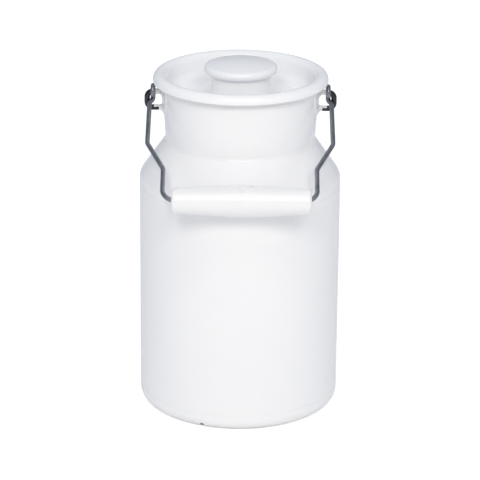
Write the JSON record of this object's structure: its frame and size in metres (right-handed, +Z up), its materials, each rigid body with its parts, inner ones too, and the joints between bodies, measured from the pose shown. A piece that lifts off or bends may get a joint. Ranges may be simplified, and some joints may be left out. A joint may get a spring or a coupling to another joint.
{
  "type": "milk can",
  "caption": "Enamelled steel milk can with a straight round body, cone shoulder, drop-in lid with hollow knob and a swinging wire bail with a turned grip.",
  "frame": {"origin": "centre of the foot ring, on the plane the can stands on", "axes": "+Z up the can's axis, -Y to the front where the bail rests, the two ears along X"},
  "size_m": [0.12, 0.1372, 0.2116],
  "materials": {
    "enamel": "gloss white vitreous enamel on sheet steel",
    "wire": "drawn grey steel wire",
    "lacquered_wood": "white gloss lacquer on turned wood"
  },
  "bodies": {
    "can": {"base_pan": "enamel", "body_wall": "enamel", "shoulder": "enamel", "neck": "enamel", "ear_plate_left": "enamel", "ear_plate_right": "enamel", "ear_loop_left": "enamel", "ear_loop_right": "enamel"},
    "bail": {"bail_wire": "wire"},
    "grip": {"grip": "lacquered_wood"},
    "lid": {"lid_pan": "enamel", "knob_stem": "enamel", "knob_cap": "enamel"}
  },
  "joints": [
    {"name": "bail_swing", "type": "hinge", "parent": "can", "child": "bail", "pos_m": [0, 0, 0.193], "axis": [-1, 0, 0], "range_deg": [0, 247]},
    {"name": "grip_spin", "type": "hinge", "parent": "bail", "child": "grip", "pos_m": [0.001, -0.06791, 0.14799], "axis": [1, 0, 0], "continuous": true},
    {"name": "lid_lift", "type": "slide", "parent": "can", "child": "lid", "axis": [0, 0, 1], "range_m": [0, 0.04]}
  ]
}
